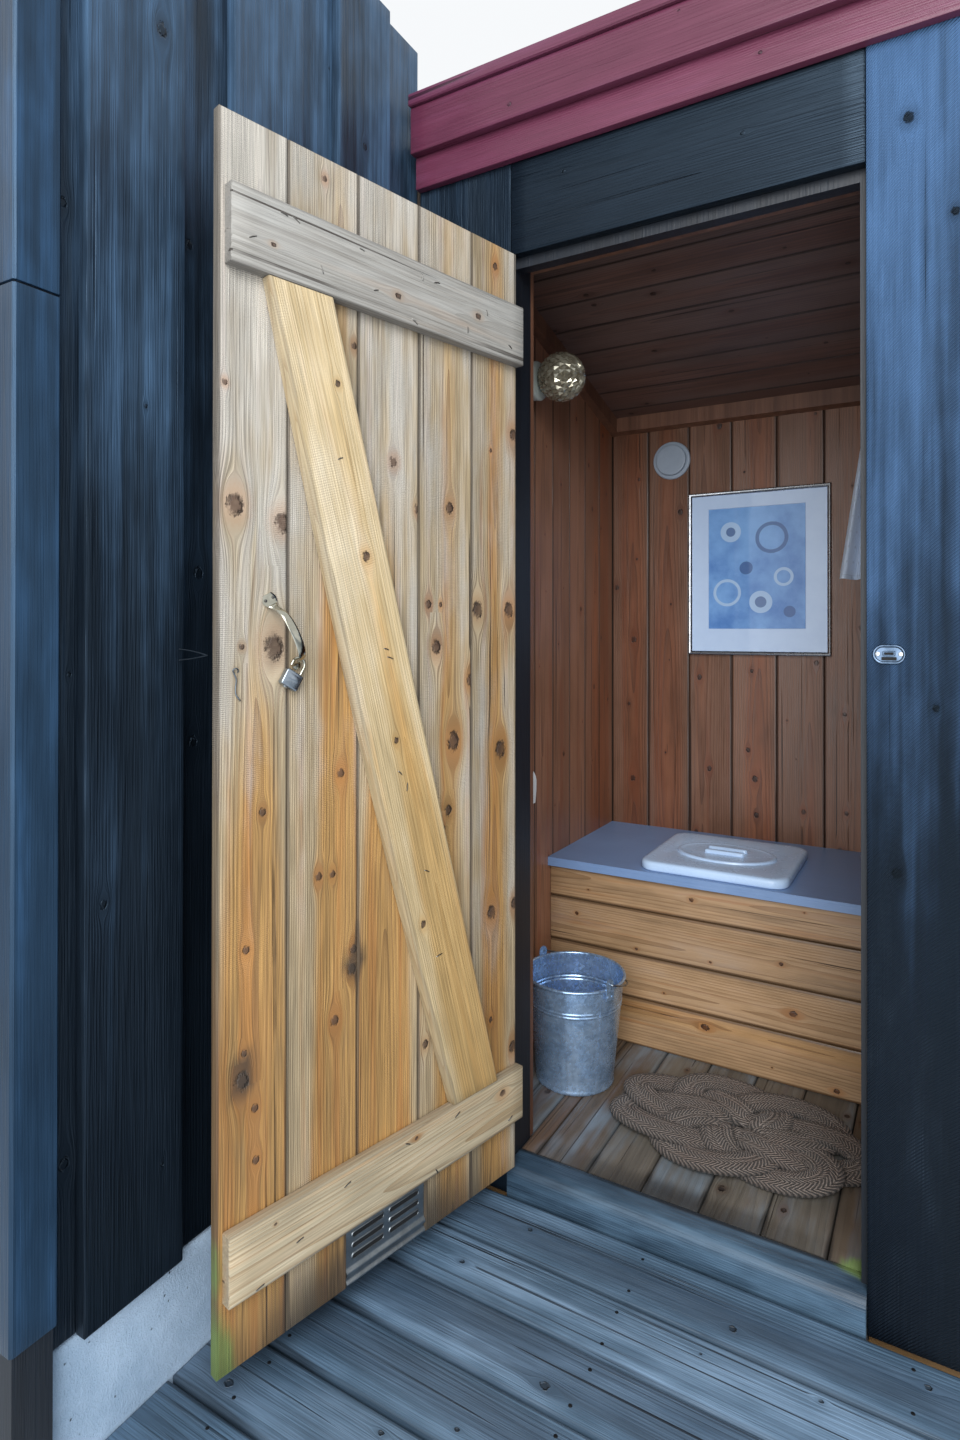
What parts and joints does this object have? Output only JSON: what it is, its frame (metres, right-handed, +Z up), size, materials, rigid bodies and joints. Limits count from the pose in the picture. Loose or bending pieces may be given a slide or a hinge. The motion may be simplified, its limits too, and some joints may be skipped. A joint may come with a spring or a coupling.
{
  "type": "outdoor privy cabin",
  "caption": "Small mono-pitch outdoor privy cabin in black boards at the corner of a house wall, with an open ledged and braced plank door, bench seat, lamp and timber deck.",
  "frame": {"origin": "on the ground under the middle of the bounding box", "axes": "+X to the right along the front wall, +Y into the cabin from the door side, +Z up"},
  "size_m": [1.384, 2.305, 2.7997],
  "materials": {
    "concrete": "cast, weathered",
    "black_boards": "black wood stain, rough sawn",
    "frame_timber": "sawn, untreated",
    "wall_panel": "plain boarded",
    "deck_timber": "weathered blue-grey",
    "floor_timber": "worn grey-brown",
    "threshold_timber": "worn blue-black paint",
    "lining_pine": "aged brown pine",
    "roof_felt": "dark mineral roof felt",
    "red_paint": "burgundy paint",
    "bench_paint": "blue-grey paint",
    "bench_pine": "varnished orange pine",
    "lid_plastic": "off-white",
    "white_ceramic": "glazed off-white",
    "smoked_glass": "pressed smoked glass",
    "white_plastic": "white",
    "silver_frame": "satin",
    "print_paper": "blue print in white mount under glass",
    "paper": "white tissue",
    "steel": "zinc plated, dull",
    "towel_cloth": "white woven",
    "door_pine": "weathered pine",
    "louvre_aluminium": "satin",
    "galvanised": "galvanised spangle",
    "coir": "braided coir"
  },
  "bodies": {
    "cabin": {"plinth": "concrete", "footings": "concrete", "floor_frame": "frame_timber", "floor_boards": "floor_timber", "deck_joists": "frame_timber", "deck_boards": "deck_timber", "threshold": "threshold_timber", "wing_wall": "wall_panel", "wing_cladding": "black_boards", "corner_casing": "black_boards", "corner_post": "black_boards", "left_wall": "wall_panel", "right_wall": "wall_panel", "back_wall": "wall_panel", "right_cladding": "black_boards", "back_cladding": "black_boards", "front_boards": "black_boards", "lintel_board": "black_boards", "door_frame": "black_boards", "lining_left": "lining_pine", "lining_right": "lining_pine", "lining_back": "lining_pine", "lining_front": "lining_pine", "ceiling": "lining_pine", "cornice": "lining_pine", "roof_panel": "wall_panel", "roof_covering": "roof_felt", "fascia_lower": "red_paint", "fascia_main": "red_paint", "fascia_cap": "red_paint", "side_fascia": "red_paint", "back_fascia": "red_paint", "bench_top": "bench_paint", "bench_front": "bench_pine", "lamp_base": "white_ceramic", "lamp_globe": "smoked_glass", "vent_disc": "white_plastic", "picture_frame": "silver_frame", "picture_print": "print_paper", "paper_roll": "paper", "roll_holder": "steel", "towel": "towel_cloth", "wall_pegs": "steel", "keeper_plate": "steel", "floor_mat": "coir", "bucket": "galvanised", "door_hook_wire": "steel", "hinge_plates": "steel"},
    "door": {"door_boards": "door_pine", "door_ledges": "door_pine", "door_brace": "door_pine", "door_vent": "louvre_aluminium", "door_handle": "steel", "padlock": "steel", "door_hinges": "steel"},
    "lid": {"seat_lid": "lid_plastic"},
    "bail": {"bucket_bail": "galvanised"}
  },
  "joints": [
    {"name": "door_hinge", "type": "hinge", "parent": "cabin", "child": "door", "pos_m": [-0.272, -0.2005, 1.18], "axis": [0, 0, 1], "range_deg": [0, 103.5]},
    {"name": "bail_swing", "type": "hinge", "parent": "cabin", "child": "bail", "pos_m": [-0.288, 0.1975, 0.524], "axis": [0.9063, -0.4226, 0], "range_deg": [0, 216]},
    {"name": "lid_lift", "type": "slide", "parent": "cabin", "child": "lid", "axis": [0, 0, 1], "range_m": [0, 0.2]}
  ]
}
